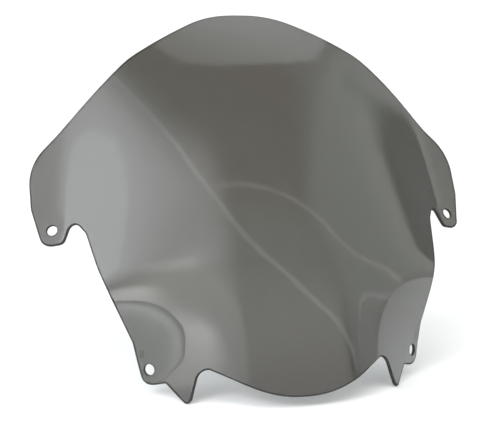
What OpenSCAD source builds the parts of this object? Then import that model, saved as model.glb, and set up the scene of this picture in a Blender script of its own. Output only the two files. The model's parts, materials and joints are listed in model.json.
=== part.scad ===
// Windshield screen for a faired motorcycle: one vacuum-formed sheet of smoked clear plastic with a
// central bubble, two flared wings, four fixing tabs and two pointed prongs beside the rounded foot.
// +Z is up, the convex front faces -Y and the part is symmetric about X = 0. The origin is at the
// bottom centre of the bounding box. The outline is drawn on the sheet's chord plane, where x runs
// across from the centre line and drop runs down from the crown; depth is measured square to it.

/* [Overall] */
// Width over the two wings
width = 432; // [404:1:520]
// Height from the crown to the foot, along the chord plane
height = 403; // [336:1:484]
// Thickness of the sheet
thick = 3; // [2:0.5:5]
// How far the chord plane leans back from the vertical, in degrees
rake = 36; // [20:1:55]

/* [Form] */
// How far the bubble's middle stands in front of the chord plane
bulge = 38; // [20:1:60]
// Radius across the sheet at the crown
crown_form_r = 1000; // [500:10:2000]
// Radius across the sheet half-way down, where the bubble is deepest
waist_form_r = 200; // [180:5:300]
// Radius across the sheet at the foot, between the flanks
foot_form_r = 500; // [250:10:1000]
// Where the wings flare flat, in from the widest line
flare_in = 26; // [10:1:40]
// Slope that the flare takes off the sheet's edge
flare_slope = 0.8; // [0:0.05:1]
// Softness of the flare's crease
flare_soft = 14; // [6:1:30]
// Where the lower flanks turn back, out from the centre line
flank_x = 52; // [40:1:70]
// Slope that the flanks add
flank_slope = 0.62; // [0.2:0.02:0.9]
// Softness of the flanks' crease
flank_soft = 12; // [6:1:30]
// Height above the foot where the flanks' turn begins
flank_start_up = 133; // [100:1:160]
// Height above the foot where the flanks' turn is complete
flank_full_up = 20; // [0:1:60]

/* [Crown and shoulders] */
// Half the width of the crown's nearly level top, to the corner that rounds it
crown_x = 30; // [20:1:60]
// Radius of that corner
crown_r = 90; // [40:5:150]
// Kink between crown and shoulder, out from the centre line
kink_x = 118; // [100:1:140]
// Drop of the kink
kink_drop = 52; // [40:1:70]
// Radius of the kink
kink_r = 100; // [20:5:200]
// Drop of the corner between shoulder and wing
wing_drop = 140; // [120:1:160]
// Radius of the wing
wing_r = 82; // [50:1:110]
// Drop at which the wing's straight outer edge turns in to its tab
wing_end_drop = 184; // [180:1:190]
// Radius where that edge turns in
wing_end_r = 15; // [8:1:20]

/* [Upper tabs] */
// Upper holes, in from the widest line
upper_hole_in = 17.5; // [14:0.5:24]
// Drop of the upper holes
upper_hole_drop = 208.5; // [200:0.5:215]
// Tab's outer corner, out from the hole
upper_tab_out = 9.5; // [8:0.5:12]
// Tab's lower end, below the hole
upper_tab_below = 15; // [12:0.5:20]
// Radius of the tab's outer corner
upper_tab_r = 15; // [8:1:18]
// Tab's inner corner, in from the hole
upper_tab_inner = 9; // [8:0.5:12]
// Radius of the tab's inner corner
upper_inner_r = 5; // [3:0.5:8]
// Notch between tab and body, in from the hole
notch_in = 18; // [15:0.5:22]
// Top of the notch, above the hole
notch_up = 6; // [0:0.5:10]
// Radius of the notch
notch_r = 5; // [3:0.5:6]
// Neck below the notch, in from the hole
neck_in = 28; // [25:0.5:32]
// Neck, below the hole
neck_below = 13; // [8:0.5:20]
// Radius of the neck
neck_r = 12; // [5:1:30]

/* [Body edge and lower tabs] */
// How far the body's edge bows out between the neck and the lower tab
edge_bow = 7; // [2:0.5:12]
// Radius of that bow
edge_bow_r = 200; // [80:10:300]
// Lower holes, out from the centre line
lower_hole_x = 125; // [118:0.5:132]
// Lower holes, above the foot
lower_hole_up = 51; // [45:0.5:60]
// Root of the lower tab, out from the hole
root_out = 13; // [11:0.5:16]
// Root of the lower tab, above the hole
root_up = 24; // [18:0.5:30]
// Radius of the root
root_r = 3; // [2:0.5:8]
// Tab's outer corner, out from the hole
lower_tab_out = 5; // [4:0.5:8]
// Tab's lower end, below the hole
lower_tab_below = 11; // [9:0.5:14]
// Radius of the tab's outer corner
lower_tab_r = 15; // [6:1:18]
// Valley between tab and prong, in from the hole
valley_in = 12; // [10:0.5:15]
// Valley, below the hole
valley_below = 15; // [12:0.5:18]
// Radius of the valley
valley_r = 2; // [1:0.5:4]

/* [Prongs and foot] */
// Tip of the prong, out from the centre line
prong_x = 96.5; // [94:0.5:100]
// Tip of the prong, above the foot
prong_up = 9; // [4:0.5:14]
// Radius of the prong's tip
prong_r = 3.6; // [2:0.2:5]
// Notch between prong and foot, out from the centre line
foot_notch_x = 86; // [80:0.5:88]
// Top of that notch, above the foot
foot_notch_up = 40.5; // [34:0.5:46]
// Radius of that notch
foot_notch_r = 7; // [3:0.5:9]
// Corner that rounds the foot, out from the centre line
foot_x = 34; // [28:0.5:44]
// Radius of the foot's corners
foot_r = 100; // [40:5:120]

/* [Holes] */
// Diameter of the four fixing holes, for the rubber well nut of an M5 screw
hole_d = 10; // [6:0.5:12]
// Radius of the flat land round each hole
land_r = 9; // [8:0.5:12]
// Width of the band where a land runs out into the form
land_blend = 8; // [4:0.5:12]

/* [Hidden] */
half = width / 2;
// Steps in each rounded corner of the outline
corner_steps = 8;
// Rows of facets down the sheet, closer together towards the tabs and the foot
rows = 14;
row_power = 1.5;
// Columns of facets across each half: foot, prong and lower tab, body, upper tab and wing
foot_cols = 5;
prong_cols = 20;
body_cols = 6;
wing_cols = 20;
// Step for measuring slopes
probe = 0.5;

// Key points of the outline, as [x, drop]
upper_hole = [half - upper_hole_in, upper_hole_drop];
lower_hole = [lower_hole_x, height - lower_hole_up];
neck = upper_hole + [-neck_in, neck_below];
root = lower_hole + [root_out, -root_up];
edge_run = (root - neck) / norm(root - neck);
edge_middle = (neck + root) / 2 + edge_bow * [edge_run[1], -edge_run[0]];

// Corners of half the outline, from the crown to the foot, as [x, drop, radius]
corners = [
    [0, 0, 0],
    [crown_x, 0, crown_r],
    [kink_x, kink_drop, kink_r],
    [half, wing_drop, wing_r],
    [half, wing_end_drop, wing_end_r],
    [upper_hole[0] + upper_tab_out, upper_hole[1] + upper_tab_below, upper_tab_r],
    [upper_hole[0] - upper_tab_inner, upper_hole[1] + upper_tab_below + 1, upper_inner_r],
    [upper_hole[0] - notch_in, upper_hole[1] - notch_up, notch_r],
    [neck[0], neck[1], neck_r],
    [edge_middle[0], edge_middle[1], edge_bow_r],
    [root[0], root[1], root_r],
    [lower_hole[0] + lower_tab_out, lower_hole[1] + lower_tab_below, lower_tab_r],
    [lower_hole[0] - valley_in, lower_hole[1] + valley_below, valley_r],
    [prong_x, height - prong_up, prong_r],
    [foot_notch_x, height - foot_notch_up, foot_notch_r],
    [foot_x, height, foot_r],
    [0, height, 0]
];

function unit(v) = v / norm(v);
function point(c) = [c[0], c[1]];

// Arc that rounds corner b between its neighbours a and c. It takes at most half of a side that
// another corner shares, and nearly all of a side that ends on the centre line.
function side_share(c) = c[0] == 0 ? 0.98 : 0.49;
function rounded(a, b, c) =
    let (to_a = unit(point(a) - point(b)), to_c = unit(point(c) - point(b)),
         half_angle = acos(max(-1, min(1, to_a * to_c))) / 2,
         reach = min(b[2] / tan(half_angle),
                     side_share(a) * norm(point(a) - point(b)),
                     side_share(c) * norm(point(c) - point(b))),
         radius = reach * tan(half_angle),
         centre = point(b) + unit(to_a + to_c) * radius / sin(half_angle),
         start = point(b) + to_a * reach - centre,
         end = point(b) + to_c * reach - centre,
         from = atan2(start[1], start[0]),
         turn = atan2(start[0] * end[1] - start[1] * end[0], start * end))
    [for (k = [0 : corner_steps])
        centre + radius * [cos(from + turn * k / corner_steps), sin(from + turn * k / corner_steps)]];

outline = concat(
    [point(corners[0])],
    [for (i = [1 : len(corners) - 2], p = rounded(corners[i - 1], corners[i], corners[i + 1])) p],
    [point(corners[len(corners) - 1])]
);

// The outline's edges by column: the last corner above the wing's straight outer edge ends the
// upper one, and the lower one starts at that edge's other end.
upper_count = 1 + 3 * (corner_steps + 1);
upper_edge = [for (i = [0 : upper_count - 1]) outline[i]];
lower_edge = [for (i = [upper_count : len(outline) - 1]) outline[i]];

// The formed surface. Its depth is a bubble along the chord, a curve across that is tightest
// half-way down, less the wings' flare, and the flanks' turn that grows towards the foot.
function ramp(u, soft) = (sqrt(u * u + soft * soft) + u) / 2;
function ease(u) = let (v = max(0, min(1, u))) v * v * (3 - 2 * v);
function across(t) =
    2 * (t - 0.5) * (t - 1) / crown_form_r - 4 * t * (t - 1) / waist_form_r + 2 * t * (t - 0.5) / foot_form_r;
function form(x, drop) =
    let (t = drop / height, u = abs(x),
         turned = ease((drop - height + flank_start_up) / (flank_start_up - flank_full_up)))
    -bulge * 4 * t * (1 - t) + across(t) * u * u / 2
        - flare_slope * ramp(u - half + flare_in, flare_soft)
        + flank_slope * turned * ramp(u - flank_x, flank_soft);

// The lands: the form's tangent plane at each hole, blended into the form round it
function form_slope(x, drop) =
    [form(x + probe, drop) - form(x - probe, drop), form(x, drop + probe) - form(x, drop - probe)] / (2 * probe);
function land(hole) = [hole, form(hole[0], hole[1]), form_slope(hole[0], hole[1])];
upper_land = land(upper_hole);
lower_land = land(lower_hole);
function land_pull(land, x, drop) =
    let (away = [abs(x), drop] - land[0])
    (1 - ease((norm(away) - land_r) / land_blend)) * (land[1] + land[2] * away - form(x, drop));
function depth(x, drop) = form(x, drop) + land_pull(upper_land, x, drop) + land_pull(lower_land, x, drop);

// A point of the front, or of the back one thickness behind it, square to the sheet
function inward(x, drop) =
    unit([-(depth(x + probe, drop) - depth(x - probe, drop)) / (2 * probe),
          -(depth(x, drop + probe) - depth(x, drop - probe)) / (2 * probe), 1]);
function front(x, drop) = [x, drop, depth(x, drop)];
function back(x, drop) = front(x, drop) + thick * inward(x, drop);
// From [x, drop, depth] to the part's axes, before the origin is set
function stood(p) = [p[0], p[2] * cos(rake) - p[1] * sin(rake), -p[2] * sin(rake) - p[1] * cos(rake)];

function span(from, to, count) = [for (i = [0 : count - 1]) from + (to - from) * i / count];
half_columns = concat(
    span(0, foot_notch_x - 8, foot_cols),
    span(foot_notch_x - 8, root[0] + 1, prong_cols),
    span(root[0] + 1, neck[0] - 1, body_cols),
    span(neck[0] - 1, half, wing_cols),
    [half]
);
columns = concat([for (i = [len(half_columns) - 1 : -1 : 1]) -half_columns[i]], half_columns);
column_count = len(columns);

// Places of the facets' corners, as [x, drop], column by column from the upper edge down
places = [for (x = columns, j = [0 : rows])
    let (top = lookup(abs(x), upper_edge), bottom = lookup(abs(x), lower_edge))
    [x, bottom - (bottom - top) * pow(1 - j / rows, row_power)]];
loose_points = concat([for (p = places) stood(front(p[0], p[1]))], [for (p = places) stood(back(p[0], p[1]))]);
depths_y = [for (p = loose_points) p[1]];
heights_z = [for (p = loose_points) p[2]];
origin = [0, (min(depths_y) + max(depths_y)) / 2, min(heights_z)];

// Index of a facet corner on the front, and the two triangles of a facet, mirrored about the centre
function at(i, j) = i * (rows + 1) + j;
function facet(i, j) = i < (column_count - 1) / 2
    ? [[at(i, j), at(i + 1, j), at(i + 1, j + 1)], [at(i, j), at(i + 1, j + 1), at(i, j + 1)]]
    : [[at(i, j), at(i + 1, j), at(i, j + 1)], [at(i + 1, j), at(i + 1, j + 1), at(i, j + 1)]];
front_faces = [for (i = [0 : column_count - 2], j = [0 : rows - 1], f = facet(i, j)) f];
back_faces = [for (f = front_faces) [f[2], f[1], f[0]] + len(places) * [1, 1, 1]];
rim = concat(
    [for (i = [0 : column_count - 2]) at(i, 0)],
    [for (j = [0 : rows - 1]) at(column_count - 1, j)],
    [for (i = [column_count - 1 : -1 : 1]) at(i, rows)],
    [for (j = [rows : -1 : 1]) at(0, j)]
);
rim_faces = [for (k = [0 : len(rim) - 1])
    let (a = rim[k], b = rim[(k + 1) % len(rim)], below = len(places))
    each [[b, a, a + below], [b, a + below, b + below]]];

// The formed and trimmed sheet, before drilling
module sheet() {
    polyhedron(
        points = [for (p = loose_points) p - origin],
        faces = concat(front_faces, back_faces, rim_faces)
    );
}

// A drill through the sheet at [x, drop], square to the land there
module drill(x, drop) {
    middle = stood(front(x, drop) + thick / 2 * inward(x, drop)) - origin;
    along = stood(inward(x, drop));
    translate(middle)
        rotate(a = acos(along[2]), v = [-along[1], along[0], 0])
            cylinder(h = 6 * thick, d = hole_d, center = true, $fn = 64);
}

module screen() {
    color([0.36, 0.36, 0.34, 0.75])
        difference() {
            sheet();
            for (hole = [upper_hole, lower_hole], side = [-1, 1]) drill(side * hole[0], hole[1]);
        }
}

screen();
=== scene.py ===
"""A smoked windshield screen for a faired motorcycle, standing on its foot in a plain pale studio."""

import json
import math

import bmesh
import bpy
import numpy as np
from mathutils import Matrix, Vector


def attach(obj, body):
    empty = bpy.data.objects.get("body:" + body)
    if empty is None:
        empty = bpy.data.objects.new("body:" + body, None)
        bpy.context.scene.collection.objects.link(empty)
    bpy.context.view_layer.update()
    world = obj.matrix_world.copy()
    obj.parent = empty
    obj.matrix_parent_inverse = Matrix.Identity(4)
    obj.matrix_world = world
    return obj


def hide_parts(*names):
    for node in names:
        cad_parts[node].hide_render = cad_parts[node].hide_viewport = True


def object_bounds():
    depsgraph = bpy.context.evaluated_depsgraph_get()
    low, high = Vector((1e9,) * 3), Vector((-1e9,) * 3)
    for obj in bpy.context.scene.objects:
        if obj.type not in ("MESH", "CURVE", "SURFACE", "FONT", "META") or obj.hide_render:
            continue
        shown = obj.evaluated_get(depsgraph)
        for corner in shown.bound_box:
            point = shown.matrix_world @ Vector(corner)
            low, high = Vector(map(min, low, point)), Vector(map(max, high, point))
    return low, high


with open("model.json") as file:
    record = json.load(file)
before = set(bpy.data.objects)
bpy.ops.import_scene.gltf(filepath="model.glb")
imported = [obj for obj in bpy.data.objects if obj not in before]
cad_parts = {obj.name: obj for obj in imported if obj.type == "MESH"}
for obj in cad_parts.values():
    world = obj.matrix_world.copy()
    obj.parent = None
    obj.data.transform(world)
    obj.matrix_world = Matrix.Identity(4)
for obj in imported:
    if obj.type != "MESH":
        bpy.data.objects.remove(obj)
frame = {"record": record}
cad_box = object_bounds()
low, high = (np.array(corner) for corner in cad_box)

# ---------------------------------------------------------------- camera
# A long lens from the screen's left front, a little above its middle. It looks at a point on the
# centre line, between the bubble and the space behind it.
LENS_MM, SENSOR_MM = 81.6, 36.0
CAMERA_TURN = math.radians(15.2)  # round from straight ahead, towards -X
CAMERA_RISE = math.radians(8.7)  # above the level
CAMERA_FAR = 1.1285  # from the point that it looks at
AIM_BACK, AIM_DOWN = 0.069, 0.026  # from the middle of the object's box


def look(place, aim, thing):
    """Puts a camera or a lamp at place and turns its -Z axis towards aim, with +Y as near upright as it
    goes: across is ahead x up, and rise is across x ahead."""
    ahead = np.array(aim, float) - np.array(place, float)
    ahead /= np.linalg.norm(ahead)
    across = np.cross(ahead, (0.0, 0.0, 1.0))
    across /= np.linalg.norm(across)
    rise = np.cross(across, ahead)
    turned = np.column_stack([across, rise, -ahead])
    thing.rotation_mode = "QUATERNION"
    thing.matrix_world = Matrix.Translation(tuple(place)) @ Matrix(turned.tolist()).to_4x4()


middle = (low + high) / 2
aim = middle + (0, AIM_BACK, -AIM_DOWN)
sight = np.array(
    [
        math.sin(CAMERA_TURN) * math.cos(CAMERA_RISE),
        math.cos(CAMERA_TURN) * math.cos(CAMERA_RISE),
        -math.sin(CAMERA_RISE),
    ]
)
lens = bpy.data.cameras.new("camera")
lens.lens, lens.sensor_width = LENS_MM, SENSOR_MM
camera = bpy.data.objects.new("camera", lens)
bpy.context.scene.collection.objects.link(camera)
look(aim - CAMERA_FAR * sight, aim, camera)
bpy.context.scene.camera = camera

# ---------------------------------------------------------------- the screen
# One sheet of smoked clear plastic, 3 mm thick. It is heated, drawn into a bubble with flared wings,
# trimmed to its outline with a router, drilled, and rubbed smooth on its cut edges.

# Sizes are in metres. Places on the sheet are x, across from the centre line, and drop, down the
# chord plane from the crown; depth is measured square to that plane, towards the back.
WIDTH, HEIGHT, THICK = 0.432, 0.403, 0.003
RAKE = math.radians(36)
BULGE = 0.038
CROWN_FORM_R, WAIST_FORM_R, FOOT_FORM_R = 1.0, 0.2, 0.5
FLARE_IN, FLARE_SLOPE, FLARE_SOFT = 0.026, 0.8, 0.014
FLANK_X, FLANK_SLOPE, FLANK_SOFT = 0.052, 0.62, 0.012
FLANK_START_UP, FLANK_FULL_UP = 0.133, 0.020
HALF = WIDTH / 2
UPPER_HOLE = np.array([HALF - 0.0175, 0.2085])
LOWER_HOLE = np.array([0.125, HEIGHT - 0.051])
HOLE_R, HOLE_CHAMFER = 0.005, 0.0006
LAND_R, LAND_BLEND = 0.009, 0.008
EDGE_R = 0.0013  # the rubbed rounding of the cut edge
EDGE_STEPS = 4
RIM = 0.0020  # the face's grid stops this far in from the outline, and the rim's section starts
CORNER_STEPS = 24
SHARED_SIDE, WHOLE_SIDE = 0.49, 0.98  # the most of a side that a corner's arc may take
GRID_ACROSS, GRID_DOWN = 400, 46
RUN_STEPS = 6000
BEND_SHARE = 0.004
PROBE = 0.0005

NECK = UPPER_HOLE + (-0.028, 0.013)
ROOT = LOWER_HOLE + (0.013, -0.024)
EDGE_BOW = 0.007
edge_run = (ROOT - NECK) / np.linalg.norm(ROOT - NECK)
EDGE_MIDDLE = (NECK + ROOT) / 2 + EDGE_BOW * np.array([edge_run[1], -edge_run[0]])

# The corners of half the outline, from the crown to the foot: x, drop and radius.
CORNERS = [
    (0, 0, 0),
    (0.030, 0, 0.090),
    (0.118, 0.052, 0.100),
    (HALF, 0.140, 0.082),
    (HALF, 0.184, 0.015),
    (*(UPPER_HOLE + (0.0095, 0.015)), 0.015),
    (*(UPPER_HOLE + (-0.009, 0.016)), 0.005),
    (*(UPPER_HOLE + (-0.018, -0.006)), 0.005),
    (*NECK, 0.012),
    (*EDGE_MIDDLE, 0.200),
    (*ROOT, 0.003),
    (*(LOWER_HOLE + (0.005, 0.011)), 0.015),
    (*(LOWER_HOLE + (-0.012, 0.015)), 0.002),
    (0.0965, HEIGHT - 0.009, 0.0036),
    (0.086, HEIGHT - 0.0405, 0.007),
    (0.034, HEIGHT, 0.100),
    (0, HEIGHT, 0),
]
WING_CORNER = 3


def corner_arc(before, corner, after):
    """The arc that rounds a corner: its centre lies on the corner's bisector, radius / sin(half angle)
    away, and it touches both sides radius / tan(half angle) from the corner. It takes at most half of a
    side that another corner shares, and nearly all of one that ends on the centre line."""
    a, b, c = (np.array(p[:2], float) for p in (before, corner, after))
    to_a, to_c = (a - b) / np.linalg.norm(a - b), (c - b) / np.linalg.norm(c - b)
    half_angle = math.acos(np.clip(to_a @ to_c, -1, 1)) / 2
    reach = min(
        corner[2] / math.tan(half_angle),
        (WHOLE_SIDE if before[0] == 0 else SHARED_SIDE) * np.linalg.norm(a - b),
        (WHOLE_SIDE if after[0] == 0 else SHARED_SIDE) * np.linalg.norm(c - b),
    )
    radius = reach * math.tan(half_angle)
    centre = b + (to_a + to_c) / np.linalg.norm(to_a + to_c) * radius / math.sin(half_angle)
    start, end = b + to_a * reach - centre, b + to_c * reach - centre
    first = math.atan2(start[1], start[0])
    turn = math.atan2(start[0] * end[1] - start[1] * end[0], start @ end)
    angles = first + turn * np.linspace(0, 1, CORNER_STEPS + 1)
    return centre + radius * np.column_stack([np.cos(angles), np.sin(angles)])


def ramp(u, soft):
    """Zero well before u = 0 and u well after it, joined by a hyperbola: (sqrt(u^2 + soft^2) + u) / 2."""
    return (np.sqrt(u * u + soft * soft) + u) / 2


def ease(u):
    """Rises from 0 to 1 as u does, level at both ends: 3 u^2 - 2 u^3."""
    v = np.clip(u, 0, 1)
    return v * v * (3 - 2 * v)


def form(x, drop):
    """The drawn shape's depth. Along the chord it is a parabola that stands BULGE in front. Across it
    is another, whose curvature passes smoothly through 1 / CROWN_FORM_R, 1 / WAIST_FORM_R and
    1 / FOOT_FORM_R. The flare takes slope off beyond its crease, and the flanks add slope near the foot."""
    t, u = drop / HEIGHT, np.abs(x)
    across = (
        2 * (t - 0.5) * (t - 1) / CROWN_FORM_R
        - 4 * t * (t - 1) / WAIST_FORM_R
        + 2 * t * (t - 0.5) / FOOT_FORM_R
    )
    turned = ease((drop - HEIGHT + FLANK_START_UP) / (FLANK_START_UP - FLANK_FULL_UP))
    return (
        -BULGE * 4 * t * (1 - t)
        + across * u * u / 2
        - FLARE_SLOPE * ramp(u - HALF + FLARE_IN, FLARE_SOFT)
        + FLANK_SLOPE * turned * ramp(u - FLANK_X, FLANK_SOFT)
    )


def slopes(surface, x, drop):
    """The surface's slope along x and along drop, by central differences."""
    return (
        (surface(x + PROBE, drop) - surface(x - PROBE, drop)) / (2 * PROBE),
        (surface(x, drop + PROBE) - surface(x, drop - PROBE)) / (2 * PROBE),
    )


def depth(x, drop):
    """The form with a flat land round each hole: the form's tangent plane there, eased back into the
    form over LAND_BLEND outside LAND_R."""
    total = form(x, drop)
    for hole in (UPPER_HOLE, LOWER_HOLE):
        away_x, away_drop = np.abs(x) - hole[0], drop - hole[1]
        along_x, along_drop = slopes(form, hole[0], hole[1])
        plane = form(hole[0], hole[1]) + along_x * away_x + along_drop * away_drop
        near = 1 - ease((np.hypot(away_x, away_drop) - LAND_R) / LAND_BLEND)
        total = total + near * (plane - form(x, drop))
    return total


def stood(x, drop, deep):
    """Turns sheet coordinates into the object's axes: the chord plane leans back by RAKE."""
    return np.stack(
        [
            x,
            deep * math.cos(RAKE) - drop * math.sin(RAKE),
            -deep * math.sin(RAKE) - drop * math.cos(RAKE),
        ],
        axis=-1,
    )


def inward(x, drop):
    """The unit normal that points from the front to the back, in sheet coordinates."""
    along_x, along_drop = slopes(depth, x, drop)
    size = np.sqrt(along_x**2 + along_drop**2 + 1)
    return -along_x / size, -along_drop / size, 1 / size


def in_sheet(x, drop, behind):
    """The point behind the front's point at x, drop, measured square to the sheet."""
    nx, nd, nz = inward(x, drop)
    return stood(x + behind * nx, drop + behind * nd, depth(x, drop) + behind * nz)


# Half the outline from the middle of the crown to the middle of the foot, as one path. It reaches
# its full width at the end of the wing's arc, and leaves it at the start of the next.
arcs = [corner_arc(*CORNERS[i - 1 : i + 2]) for i in range(1, len(CORNERS) - 1)]
outline = np.vstack([CORNERS[0][:2], *arcs, CORNERS[-1][:2]])
outline_run = np.concatenate([[0], np.cumsum(np.linalg.norm(np.diff(outline, axis=0), axis=1))])
WING_FULL = outline_run[WING_CORNER * (CORNER_STEPS + 1)]
WING_LEFT = outline_run[WING_CORNER * (CORNER_STEPS + 1) + 1]


def on_outline(run):
    """The outline's point at each distance from its start, and its outward direction there: square
    to the chord between the points PROBE to each side, mirrored past the centre line."""
    places = []
    for at in (run, run - PROBE, run + PROBE):
        folded = np.where(at > outline_run[-1], 2 * outline_run[-1] - at, np.abs(at))
        side = np.where((at < 0) | (at > outline_run[-1]), -1, 1)
        across, down = (np.interp(folded, outline_run, outline[:, k]) for k in (0, 1))
        places.append(np.column_stack([side * across, down]))
    step = places[2] - places[1]
    return places[0], np.column_stack([step[:, 1], -step[:, 0]]) / np.linalg.norm(step, axis=1)[:, None]


def column_runs(first, last):
    """A dense set of distances along the outline, with the width at which each lies once set in by
    RIM, and a measure that grows by the distance plus BEND_SHARE metres a radian of turn."""
    run = np.linspace(first, last, RUN_STEPS)
    place, out = on_outline(run)
    turned = np.linalg.norm(np.diff(out, axis=0), axis=1)
    measure = np.concatenate([[0], np.cumsum(np.abs(np.diff(run)) + BEND_SHARE * turned)])
    across = np.maximum.accumulate((place - RIM * out)[:, 0])
    never_level = 1e-9 * np.arange(run.size)
    return run, across + never_level, measure


# The face's grid: columns at fixed x, crowded where the crown's or the foot's edge is steep or
# bends, each from the crown's edge to the foot's, both set in by RIM.
crown_run, crown_x, crown_measure = column_runs(0, WING_FULL)
foot_run, foot_x, foot_measure = column_runs(outline_run[-1], WING_LEFT)
wide = HALF - RIM
crown_x, foot_x = crown_x * wide / crown_x[-1], foot_x * wide / foot_x[-1]
fine_x = np.sort(np.concatenate([crown_x, foot_x]))
fine_measure = np.interp(fine_x, crown_x, crown_measure) + np.interp(fine_x, foot_x, foot_measure)
columns = np.interp(np.linspace(0, fine_measure[-1], GRID_ACROSS), fine_measure, fine_x)
down = np.linspace(0, 1, GRID_DOWN)
half_run = np.concatenate(
    [
        np.interp(columns, crown_x, crown_run),
        (WING_FULL + down * (WING_LEFT - WING_FULL))[1:-1],
        np.interp(columns, foot_x, foot_run)[::-1],
    ]
)
edge, edge_out = on_outline(half_run)
edge = np.vstack([edge, edge[-2:0:-1] * (-1, 1)])
edge_out = np.vstack([edge_out, edge_out[-2:0:-1] * (-1, 1)])
set_in = edge - RIM * edge_out
foot_first = GRID_ACROSS + GRID_DOWN - 2
top, bottom = set_in[:GRID_ACROSS], set_in[foot_first : foot_first + GRID_ACROSS][::-1]
half_grid = top[:, None] + down[:, None] * (bottom - top)[:, None]
half_grid[-1] = set_in[GRID_ACROSS - 1 : foot_first + 1]
grid = np.concatenate([half_grid[:0:-1] * (-1, 1), half_grid])

# The rim's section, from the front face round the cut edge to the back face: how far in from the
# outline, and how far behind the front.
quarter = np.linspace(0, math.pi / 2, EDGE_STEPS + 1)
round_in, round_behind = EDGE_R * (1 - np.sin(quarter)), EDGE_R * (1 - np.cos(quarter))
rim_in = np.concatenate([round_in, round_in[::-1]])
rim_behind = np.concatenate([round_behind, THICK - round_behind[::-1]])
rim_grid = edge[:, None] - rim_in[:, None] * edge_out[:, None]

front = in_sheet(grid[..., 0], grid[..., 1], 0.0)
back = in_sheet(grid[..., 0], grid[..., 1], THICK)
rim = in_sheet(rim_grid[..., 0], rim_grid[..., 1], rim_behind)
points = np.concatenate([front.reshape(-1, 3), back.reshape(-1, 3), rim.reshape(-1, 3)])

# The upper hole's middle, half-way through the sheet, lies on its mount in the record.
mounts = {mount["name"]: np.array(mount["pos_m"]) for mount in frame["record"]["mounts"]}
shift = mounts["upper_right_hole"] - in_sheet(*UPPER_HOLE, THICK / 2)
points += shift


def quads(index):
    """The quads of a grid of vertex numbers, each from its first corner along the rows, then across."""
    corners = [index[:-1, :-1], index[1:, :-1], index[1:, 1:], index[:-1, 1:]]
    return np.stack(corners, axis=-1).reshape(-1, 4)


index = np.arange(grid[..., 0].size).reshape(grid.shape[:2])
centre = GRID_ACROSS - 1
right_loop = np.concatenate([index[centre:, 0], index[-1, 1:-1], index[centre:, -1][::-1]])
left_loop = np.concatenate([index[: centre + 1, 0][::-1], index[0, 1:-1], index[: centre + 1, -1]])
loop = np.concatenate([right_loop, left_loop[-2:0:-1]])
rim_index = 2 * index.size + np.arange(rim_grid[..., 0].size).reshape(rim_grid.shape[:2])
rim_index = np.hstack([loop[:, None], rim_index, index.size + loop[:, None]])
rim_index = np.vstack([rim_index, rim_index[:1]])
faces = np.vstack([quads(index)[:, ::-1], quads(index + index.size), quads(rim_index)])


def mesh_of(name, points, faces):
    """A mesh of quads from arrays of points and vertex numbers, with every face smooth."""
    mesh = bpy.data.meshes.new(name)
    mesh.from_pydata(points.tolist(), [], faces.tolist())
    mesh.polygons.foreach_set("use_smooth", np.ones(len(faces), bool))
    mesh.validate()
    return mesh


screen = bpy.data.objects.new("windshield_screen", mesh_of("windshield_screen", points, faces))
bpy.context.scene.collection.objects.link(screen)

# Each hole is cut by a drill's shape: a cylinder that opens into a cone at both faces, carried round
# the hole's axis as a profile.
DRILL_REACH, DRILL_STEPS = 0.003, 96
near_half = np.array([-DRILL_REACH, -HOLE_CHAMFER, HOLE_CHAMFER])
drill_along = np.concatenate([near_half, THICK - near_half[::-1]])
drill_out = HOLE_R + np.array([1, 1, 0, 0, 1, 1]) * 2 * HOLE_CHAMFER
drill_turn = np.linspace(0, 2 * math.pi, DRILL_STEPS, endpoint=False)
round_about = np.stack([np.cos(drill_turn), np.sin(drill_turn), np.zeros(DRILL_STEPS)], axis=-1)


def drilled(place, axis):
    """A drill's closed shape: each circle of the profile lies across the axis at its distance along
    it, and each end is a fan round one middle point."""
    axis = np.array(axis) / np.linalg.norm(axis)
    side = np.cross(axis, (0, 0, 1))
    side /= np.linalg.norm(side)
    turned = round_about @ np.stack([side, np.cross(axis, side), axis])
    along = (drill_along - THICK / 2)[:, None, None] * axis
    rings = place + along + drill_out[:, None, None] * turned
    ring_index = np.arange(rings[..., 0].size).reshape(rings.shape[:2])
    ring_index = np.hstack([ring_index, ring_index[:, :1]])
    ends = place + (drill_along[[0, -1]] - THICK / 2)[:, None] * axis
    first, last = np.full(DRILL_STEPS, rings[..., 0].size), np.full(DRILL_STEPS, rings[..., 0].size + 1)
    near_fan = np.column_stack([first, ring_index[0, 1:], ring_index[0, :-1]])
    far_fan = np.column_stack([last, ring_index[-1, :-1], ring_index[-1, 1:]])
    drill_points = np.vstack([rings.reshape(-1, 3), ends])
    drill_faces = quads(ring_index).tolist() + near_fan.tolist() + far_fan.tolist()
    mesh = bpy.data.meshes.new("drill")
    mesh.from_pydata(drill_points.tolist(), [], drill_faces)
    mesh.validate()
    drill = bmesh.new()
    drill.from_mesh(mesh)
    bmesh.ops.recalc_face_normals(drill, faces=drill.faces)
    drill.to_mesh(mesh)
    drill.free()
    return bpy.data.objects.new("drill", mesh)


SHARP_FROM = math.radians(35)
drills = [drilled(np.array(mount["pos_m"]), mount["axis"]) for mount in frame["record"]["mounts"]]
for drill in drills:
    bpy.context.scene.collection.objects.link(drill)
    cut = screen.modifiers.new("hole", "BOOLEAN")
    cut.operation, cut.solver, cut.object = "DIFFERENCE", "EXACT", drill
pierced = bpy.data.meshes.new_from_object(screen.evaluated_get(bpy.context.evaluated_depsgraph_get()))
screen.modifiers.clear()
screen.data = pierced
for drill in drills:
    bpy.data.objects.remove(drill)
pierced.polygons.foreach_set("use_smooth", np.ones(len(pierced.polygons), bool))
pierced.set_sharp_from_angle(angle=SHARP_FROM)

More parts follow.
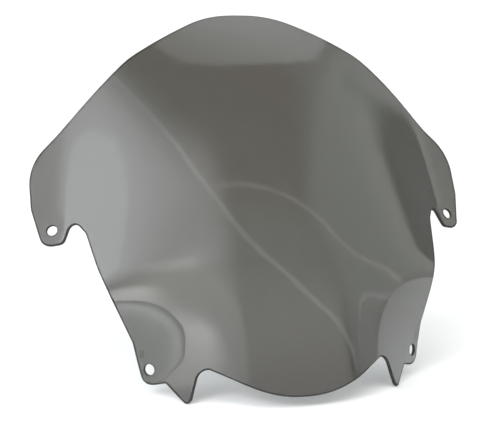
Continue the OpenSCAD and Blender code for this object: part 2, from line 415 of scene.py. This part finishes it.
# The plastic: a grey-olive smoke all through it, under a hard clear coat. The face is a little wavy
# from the forming, and has fine wiping scratches.
SMOKE = (0.316, 0.322, 0.275)
SMOKE_DENSITY = 1050.0
PLASTIC_IOR, COAT_IOR, COAT_ROUGH = 1.54, 1.55, 0.03
ROUGH_LEAST, ROUGH_MOST = 0.02, 0.07
RIPPLE_SCALE, RIPPLE_DEEP = 16, 0.0003
SCRATCH_SCALE, SCRATCH_FROM, SCRATCH_TO, SCRATCH_DEEP = 90, 0.60, 0.75, 0.000004
SCRATCH_WAYS = (((1, 9, 9), (0.2, 0.5, 0.6)), ((8, 1, 8), (0.5, 0.1, -0.4)))  # stretch, then turn
WIPE_SCALE, WIPE_FROM, WIPE_TO, WIPE_WAY = 30, 0.35, 0.75, ((1, 3, 1), (0.3, 0.2, 0.5))
plastic = bpy.data.materials.new("smoked_clear_plastic")
plastic.use_nodes = True
nodes, links = plastic.node_tree.nodes, plastic.node_tree.links
shader, output = nodes["Principled BSDF"], nodes["Material Output"]
shader.inputs["Transmission Weight"].default_value = 1.0
shader.inputs["IOR"].default_value = PLASTIC_IOR
shader.inputs["Coat Weight"].default_value = 1.0
shader.inputs["Coat IOR"].default_value = COAT_IOR
shader.inputs["Coat Roughness"].default_value = COAT_ROUGH
smoke = nodes.new("ShaderNodeVolumeAbsorption")
smoke.inputs["Color"].default_value = (*SMOKE, 1)
smoke.inputs["Density"].default_value = SMOKE_DENSITY
links.new(smoke.outputs["Volume"], output.inputs["Volume"])


def noise(material, scale, detail, stretch=(1, 1, 1), turn=(0, 0, 0)):
    """Smooth noise on Object coordinates, first turned and stretched."""
    nodes, links = material.node_tree.nodes, material.node_tree.links
    mapping = nodes.new("ShaderNodeMapping")
    links.new(nodes.new("ShaderNodeTexCoord").outputs["Object"], mapping.inputs["Vector"])
    mapping.inputs["Scale"].default_value, mapping.inputs["Rotation"].default_value = stretch, turn
    texture = nodes.new("ShaderNodeTexNoise")
    links.new(mapping.outputs["Vector"], texture.inputs["Vector"])
    texture.inputs["Scale"].default_value, texture.inputs["Detail"].default_value = scale, detail
    return texture.outputs["Fac"]


def ranged(material, value, first, last, least, most):
    """Takes the value's range first to last onto least to most, held at both ends."""
    node = material.node_tree.nodes.new("ShaderNodeMapRange")
    material.node_tree.links.new(value, node.inputs["Value"])
    for name, bound in (("From Min", first), ("From Max", last), ("To Min", least), ("To Max", most)):
        node.inputs[name].default_value = bound
    return node.outputs["Result"]


def raised(material, height, distance, under=None):
    """A bump of a height in metres, over another bump's normal."""
    node = material.node_tree.nodes.new("ShaderNodeBump")
    material.node_tree.links.new(height, node.inputs["Height"])
    node.inputs["Strength"].default_value, node.inputs["Distance"].default_value = 1.0, distance
    if under:
        material.node_tree.links.new(under, node.inputs["Normal"])
    return node.outputs["Normal"]


# The drawn face ripples a little, and cloths have left short fine marks that run two ways. They also
# leave it glossier in some places than in others.
normal = raised(plastic, noise(plastic, RIPPLE_SCALE, 2), RIPPLE_DEEP)
for way in SCRATCH_WAYS:
    marks = ranged(plastic, noise(plastic, SCRATCH_SCALE, 3, *way), SCRATCH_FROM, SCRATCH_TO, 0, 1)
    normal = raised(plastic, marks, SCRATCH_DEEP, normal)
links.new(normal, shader.inputs["Normal"])
links.new(normal, shader.inputs["Coat Normal"])
wiped = ranged(plastic, noise(plastic, WIPE_SCALE, 4, *WIPE_WAY), WIPE_FROM, WIPE_TO, ROUGH_LEAST, ROUGH_MOST)
links.new(wiped, shader.inputs["Roughness"])

# The cut edge and the holes' walls: every face turned more than EDGE_FROM away from the sheet's own
# direction. They are rubbed smooth but keep fine marks. Their near-black colour is painted shade: it stands
# in for the light that the smoke soaks up along the long paths inside the sheet at its edge.
EDGE_FROM = math.radians(8)
# The two edge colours are painted shade, an opaque dark tone that varies at random between them.
EDGE_SHADE_DARK, EDGE_SHADE_LIGHT = (0.016, 0.016, 0.015, 1), (0.040, 0.041, 0.037, 1)
EDGE_TINT_SCALE, EDGE_MARK_SCALE, EDGE_MARK_STRETCH, EDGE_MARK_DEEP = 60, 700, (1, 1, 4), 0.00003
EDGE_ROUGH_LEAST, EDGE_ROUGH_MOST, EDGE_SHINE = 0.45, 0.62, 0.2
cut_plastic = bpy.data.materials.new("cut_edge_painted_shade")
cut_plastic.use_nodes = True
cut_shader, cut_links = cut_plastic.node_tree.nodes["Principled BSDF"], cut_plastic.node_tree.links
cut_marks = noise(cut_plastic, EDGE_MARK_SCALE, 2, EDGE_MARK_STRETCH)
edge_painted_shade = cut_plastic.node_tree.nodes.new("ShaderNodeMix")
edge_painted_shade.data_type = "RGBA"
edge_painted_shade.inputs["A"].default_value, edge_painted_shade.inputs["B"].default_value = EDGE_SHADE_DARK, EDGE_SHADE_LIGHT
cut_links.new(noise(cut_plastic, EDGE_TINT_SCALE, 3), edge_painted_shade.inputs["Factor"])
cut_links.new(edge_painted_shade.outputs["Result"], cut_shader.inputs["Base Color"])
cut_rough = ranged(cut_plastic, cut_marks, 0.3, 0.7, EDGE_ROUGH_LEAST, EDGE_ROUGH_MOST)
cut_links.new(cut_rough, cut_shader.inputs["Roughness"])
cut_links.new(raised(cut_plastic, cut_marks, EDGE_MARK_DEEP), cut_shader.inputs["Normal"])
cut_shader.inputs["IOR"].default_value = PLASTIC_IOR
cut_shader.inputs["Specular IOR Level"].default_value = EDGE_SHINE

# Each face is put back into sheet coordinates, where the sheet's own direction is known.
face_count = len(pierced.polygons)
face_middle, face_normal = np.empty(3 * face_count), np.empty(3 * face_count)
pierced.polygons.foreach_get("center", face_middle)
pierced.polygons.foreach_get("normal", face_normal)
face_middle = face_middle.reshape(-1, 3) - shift
face_drop = -face_middle[:, 1] * math.sin(RAKE) - face_middle[:, 2] * math.cos(RAKE)
through = stood(*inward(face_middle[:, 0], face_drop))
is_cut = np.abs((through * face_normal.reshape(-1, 3)).sum(axis=1)) < math.cos(EDGE_FROM)
pierced.materials.clear()
pierced.materials.append(plastic)
pierced.materials.append(cut_plastic)
pierced.polygons.foreach_set("material_index", is_cut.astype(np.int32))

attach(screen, "root")
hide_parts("screen")

# ---------------------------------------------------------------- the studio
# A pale sweep of matt paper: a floor that turns up into a wall behind, all one sheet. Two lamps light
# it, and the room round it gives the plastic something to mirror.
SWEEP_WIDTH, SWEEP_BACK, SWEEP_FRONT, SWEEP_TALL, SWEEP_R = 5.6, 1.6, 5.0, 3.0, 0.8
BEND_STEPS = 24
PAPER = (0.88, 0.90, 0.91, 1)
bend = np.linspace(0, math.pi / 2, BEND_STEPS + 1)
sweep_y = np.concatenate([[-SWEEP_FRONT], SWEEP_BACK - SWEEP_R + SWEEP_R * np.sin(bend), [SWEEP_BACK]])
sweep_z = np.concatenate([[0], SWEEP_R - SWEEP_R * np.cos(bend), [SWEEP_TALL]])
sweep_x = np.array([-SWEEP_WIDTH / 2, SWEEP_WIDTH / 2])
sweep_points = np.stack(
    [
        np.broadcast_to(sweep_x[:, None], (2, sweep_y.size)),
        np.broadcast_to(sweep_y, (2, sweep_y.size)),
        np.broadcast_to(sweep_z, (2, sweep_y.size)),
    ],
    axis=-1,
)
sweep_index = np.arange(2 * sweep_y.size).reshape(2, sweep_y.size)
sweep = bpy.data.objects.new("sweep", mesh_of("sweep", sweep_points.reshape(-1, 3), quads(sweep_index)))
bpy.context.scene.collection.objects.link(sweep)
paper = bpy.data.materials.new("matt_white_paper")
paper.use_nodes = True
paper_shader = paper.node_tree.nodes["Principled BSDF"]
paper_shader.inputs["Base Color"].default_value = PAPER
paper_shader.inputs["Roughness"].default_value = 0.9
paper_shader.inputs["Specular IOR Level"].default_value = 0.1
sweep.data.materials.append(paper)


def softbox(name, place, aim, width, tall, watts):
    """A rectangular lamp at place that faces aim and isn't mirrored in the plastic."""
    lamp = bpy.data.lights.new(name, "AREA")
    lamp.shape, lamp.size, lamp.size_y, lamp.energy = "RECTANGLE", width, tall, watts
    thing = bpy.data.objects.new(name, lamp)
    bpy.context.scene.collection.objects.link(thing)
    look(place, aim, thing)
    thing.visible_glossy = False


# The wide lamp lights the whole sweep. The small one makes a pool of light on the floor at the left
# front, which the left flank mirrors.
softbox("sweep_lamp", (0, -1.5, 3.2), (0, 0.8, 0.3), 4.0, 2.0, 43)
softbox("pool_lamp", (-0.75, -0.60, 0.62), (-0.73, -0.58, 0), 0.4, 0.4, 6)

# The room round the studio, which the plastic reflects: an even light, with a few soft-edged panels
# that add to it or shade it. Each panel's middle direction, the direction of its width, the tangents
# of its half width and half height, the softness of its edges, and the light it adds.
ROOM_LIGHT = (0.63, 0.61, 0.595)
PANELS = {
    "left": ((-0.88, 0.12, 0.58), (0, 1, 0), 0.52, 0.42, 0.27, (1.85, 1.9, 2.0)),
    "upper_left": ((-0.44, -0.48, 0.75), (1, 0, 0), 0.20, 0.28, 0.16, (0.90, 0.92, 0.97)),
    "overhead_back": ((-0.18, 0.72, 0.67), (1, 0.25, 0), 3.0, 1.0, 0.04, (0.46, 0.50, 0.50)),
    "overhead_shade": ((0.08, -0.20, 0.97), (1, 0, 0), 0.50, 0.42, 0.16, (-0.15, -0.21, -0.23)),
    "right": ((0.86, -0.20, 0.45), (0.2, 1, 0), 0.42, 0.50, 0.08, (0.18, 0.22, 0.21)),
    "right_shade": ((0.80, 0.52, 0.25), (0.3, -1, 0), 0.36, 0.60, 0.04, (-0.36, -0.34, -0.33)),
    "low_left": ((-0.87, -0.50, 0.05), (0.5, -0.87, 0), 0.22, 0.14, 0.09, (1.7, 1.7, 1.7)),
    "front_left": ((-0.68, -0.66, 0.30), (0.7, -0.7, 0), 0.26, 0.42, 0.20, (1.0, 1.0, 1.0)),
    "front": ((0.10, -0.95, 0.28), (1, 0, 0), 0.75, 0.30, 0.20, (0.55, 0.52, 0.50)),
}
# Two thin tubes, each part of a circle of directions at a steady angle to its axis: the axis, the
# cosine of the angle, the half width, the middle direction, the cosine of its half length, and the light.
# TUBE_FADE is how softly each one's ends fade, also as a cosine.
TUBE_FADE = 0.08
TUBES = {
    "near_tube": ((0.477, 0.158, 0.865), 0.50, 0.012, (0.12, -0.76, 0.64), 0.62, 0.5),
    "far_tube": ((0.106, 0.880, 0.408), -0.08, 0.010, (0.56, -0.47, 0.66), 0.62, 0.4),
}
world = bpy.data.worlds.new("room")
bpy.context.scene.world = world
world.use_nodes = True
room_nodes, room_links = world.node_tree.nodes, world.node_tree.links
direction = room_nodes.new("ShaderNodeTexCoord").outputs["Generated"]


def worked(kind, operation, *inputs):
    """The output of a Math or Vector Math node in the room's light, with each input linked or set."""
    node = room_nodes.new(kind)
    node.operation = operation
    for socket, value in zip(node.inputs, inputs):
        if isinstance(value, bpy.types.NodeSocket):
            room_links.new(value, socket)
        else:
            socket.default_value = value
    return next(socket for socket in node.outputs if socket.enabled)


def towards(way):
    """The cosine of the angle between the ray and a direction."""
    way = np.array(way) / np.linalg.norm(way)
    return worked("ShaderNodeVectorMath", "DOT_PRODUCT", direction, way.tolist())


def eased(value, first, last):
    """Falls smoothly from 1 at first to 0 at last."""
    fade = room_nodes.new("ShaderNodeMapRange")
    fade.interpolation_type = "SMOOTHSTEP"
    room_links.new(value, fade.inputs["Value"])
    fade.inputs["From Min"].default_value, fade.inputs["From Max"].default_value = first, last
    fade.inputs["To Min"].default_value, fade.inputs["To Max"].default_value = 1, 0
    return fade.outputs["Result"]


def within(value, limit, soft):
    """1 where the value's size is well under the limit, 0 well over it, eased between."""
    return eased(worked("ShaderNodeMath", "ABSOLUTE", value), limit - soft, limit + soft)


BESIDE = 1e-4  # the least cosine that a panel's tangents are worked out from
glow = ROOM_LIGHT
for toward, width_way, half_wide, half_tall, soft, added in PANELS.values():
    toward = np.array(toward) / np.linalg.norm(toward)
    side = np.array(width_way) - np.dot(width_way, toward) * toward
    facing = worked("ShaderNodeMath", "MAXIMUM", towards(toward), BESIDE)
    shares = [
        within(worked("ShaderNodeMath", "DIVIDE", towards(way), facing), half, soft)
        for way, half in ((side, half_wide), (np.cross(toward, side), half_tall))
    ]
    mask = worked("ShaderNodeMath", "MULTIPLY", *shares)
    glow = worked("ShaderNodeVectorMath", "MULTIPLY_ADD", mask, added, glow)
for axis, cosine, half, toward, half_length, added in TUBES.values():
    across_tube = within(worked("ShaderNodeMath", "SUBTRACT", towards(axis), cosine), half, half / 2)
    turned_away = worked("ShaderNodeMath", "MULTIPLY", towards(toward), -1.0)
    along_tube = eased(turned_away, -half_length - TUBE_FADE, TUBE_FADE - half_length)
    mask = worked("ShaderNodeMath", "MULTIPLY", across_tube, along_tube)
    glow = worked("ShaderNodeVectorMath", "MULTIPLY_ADD", mask, (added, added, added), glow)
room_links.new(glow, room_nodes["Background"].inputs["Color"])
room_nodes["Background"].inputs["Strength"].default_value = 1.0
bpy.context.scene.view_settings.view_transform = "Standard"
